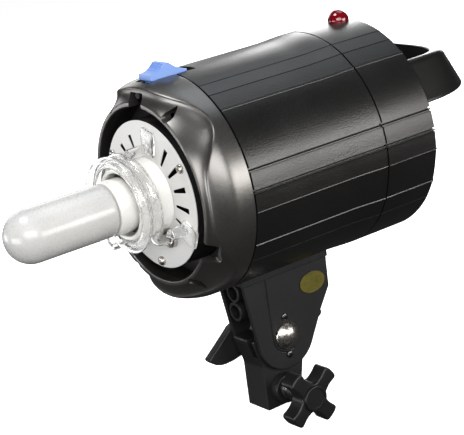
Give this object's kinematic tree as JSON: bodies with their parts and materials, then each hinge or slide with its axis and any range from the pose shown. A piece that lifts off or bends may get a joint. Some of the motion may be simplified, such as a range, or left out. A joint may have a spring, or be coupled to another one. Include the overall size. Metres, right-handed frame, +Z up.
{
  "type": "monolight strobe",
  "caption": "Studio flash head with a bayonet front, modelling lamp inside a ring flash tube, rear handle and a tilting stand bracket with a star knob.",
  "frame": {"origin": "centre of the stand socket's mouth, on the flat foot of the stand adapter", "axes": "+Z up out of the stand, -Y the way the head shines, +X towards the star knob"},
  "size_m": [0.136, 0.3277, 0.2395],
  "materials": {
    "body_black": "satin black moulded housing with a fine grain",
    "panel_black": "matt black",
    "bracket_black": "matt glass-filled nylon with a fine grain",
    "control_black": "matt black moulding",
    "zinc_steel": "zinc plated",
    "chrome": "bright plated",
    "dark_screw": "blackened steel",
    "release_blue": "light blue moulding",
    "reflector_white": "white enamel",
    "shroud_white": "white ceramic-filled moulding",
    "lamp_base": "white collar on a screw base",
    "frosted_glass": "frosted white",
    "clear_glass": "clear",
    "red_window": "translucent red",
    "capacitor_sleeve": "shrink sleeve",
    "board_green": "solder mask",
    "choke_iron": "varnished laminations",
    "coil_tape": "winding tape",
    "ready_lens": "translucent green",
    "sticker_gold": "blank gold foil label",
    "fibre": "pressed fibre",
    "brass": "turned brass"
  },
  "bodies": {
    "adapter": {"stand_adapter": "bracket_black", "knob_bush": "zinc_steel", "friction_disc_1": "fibre", "friction_disc_2": "fibre"},
    "head": {"front_bezel": "body_black", "body_shell": "body_black", "rear_cap": "body_black", "carry_handle": "body_black", "plate_drum": "panel_black", "rear_panel": "panel_black", "front_bulkhead": "panel_black", "tilt_yoke": "bracket_black", "fuse_cap": "control_black", "mains_inlet": "control_black", "fan_frame": "control_black", "release_spring": "zinc_steel", "chassis_tray": "zinc_steel", "sync_jack": "zinc_steel", "plate_screw_1": "chrome", "plate_screw_2": "chrome", "plate_screw_3": "chrome", "cap_screw_1": "chrome", "cap_screw_2": "chrome", "pivot_cap": "chrome", "tube_ferrule_1": "chrome", "tube_ferrule_2": "chrome", "bayonet_ring": "dark_screw", "bezel_screw_1": "dark_screw", "bezel_screw_2": "dark_screw", "bezel_screw_3": "dark_screw", "bezel_screw_4": "dark_screw", "reflector_plate": "reflector_white", "socket_shroud": "shroud_white", "lamp_socket": "panel_black", "lamp_base": "lamp_base", "modelling_lamp": "frosted_glass", "flash_tube": "clear_glass", "tube_clip_1": "clear_glass", "tube_clip_2": "clear_glass", "slave_sensor_dome": "red_window", "main_capacitor_1": "capacitor_sleeve", "main_capacitor_2": "capacitor_sleeve", "discharge_capacitor": "capacitor_sleeve", "power_board": "board_green", "choke": "choke_iron", "trigger_coil": "coil_tape", "ready_light": "ready_lens", "inspection_sticker": "sticker_gold"},
    "release": {"bayonet_release": "release_blue", "latch_pin": "dark_screw"},
    "fan": {"fan_rotor": "control_black"},
    "rocker": {"power_rocker": "control_black"},
    "dial": {"output_dial": "control_black"},
    "test_key": {"test_button": "control_black"},
    "lamp_key": {"lamp_button": "control_black"},
    "lever": {"tilt_lever": "bracket_black", "pivot_bolt": "zinc_steel"},
    "pad": {"clamp_pad": "brass"},
    "knob": {"stand_knob": "control_black", "knob_screw": "zinc_steel"}
  },
  "joints": [
    {"name": "head_tilt", "type": "hinge", "parent": "adapter", "child": "head", "pos_m": [0, 0.0065, 0.0458], "axis": [1, 0, 0], "range_deg": [-65, 30]},
    {"name": "lever_turn", "type": "hinge", "parent": "head", "child": "lever", "pos_m": [0, 0.0065, 0.0458], "axis": [1, 0, 0], "range_deg": [-45, 40]},
    {"name": "release_slide", "type": "slide", "parent": "head", "child": "release", "axis": [0, 1, 0], "range_m": [0, 0.005], "stiffness_N_per_m": 400, "springref_m": -0.004, "deforming": ["release_spring"]},
    {"name": "fan_spin", "type": "hinge", "parent": "head", "child": "fan", "pos_m": [0, 0.089, 0.12], "axis": [0, 1, 0], "continuous": true},
    {"name": "rocker_tilt", "type": "hinge", "parent": "head", "child": "rocker", "pos_m": [0.038, 0.093, 0.146], "axis": [1, 0, 0], "range_deg": [-16, 0]},
    {"name": "dial_turn", "type": "hinge", "parent": "head", "child": "dial", "pos_m": [0, 0.098, 0.155], "axis": [0, 1, 0], "range_deg": [-135, 135]},
    {"name": "test_press", "type": "slide", "parent": "head", "child": "test_key", "axis": [0, -1, 0], "range_m": [0, 0.002], "stiffness_N_per_m": 300, "springref_m": -0.002},
    {"name": "lamp_press", "type": "slide", "parent": "head", "child": "lamp_key", "axis": [0, -1, 0], "range_m": [0, 0.002], "stiffness_N_per_m": 300, "springref_m": -0.002},
    {"name": "pad_slide", "type": "slide", "parent": "adapter", "child": "pad", "axis": [-1, 0, 0], "range_m": [0, 0.0031]},
    {"name": "knob_turn", "type": "hinge", "parent": "pad", "child": "knob", "pos_m": [0, 0, 0.0125], "axis": [-1, 0, 0], "range_deg": [0, 864]}
  ],
  "couplings": [
    {"joint": "pad_slide", "follows": "knob_turn", "m_per_rad": 0.00019894}
  ]
}
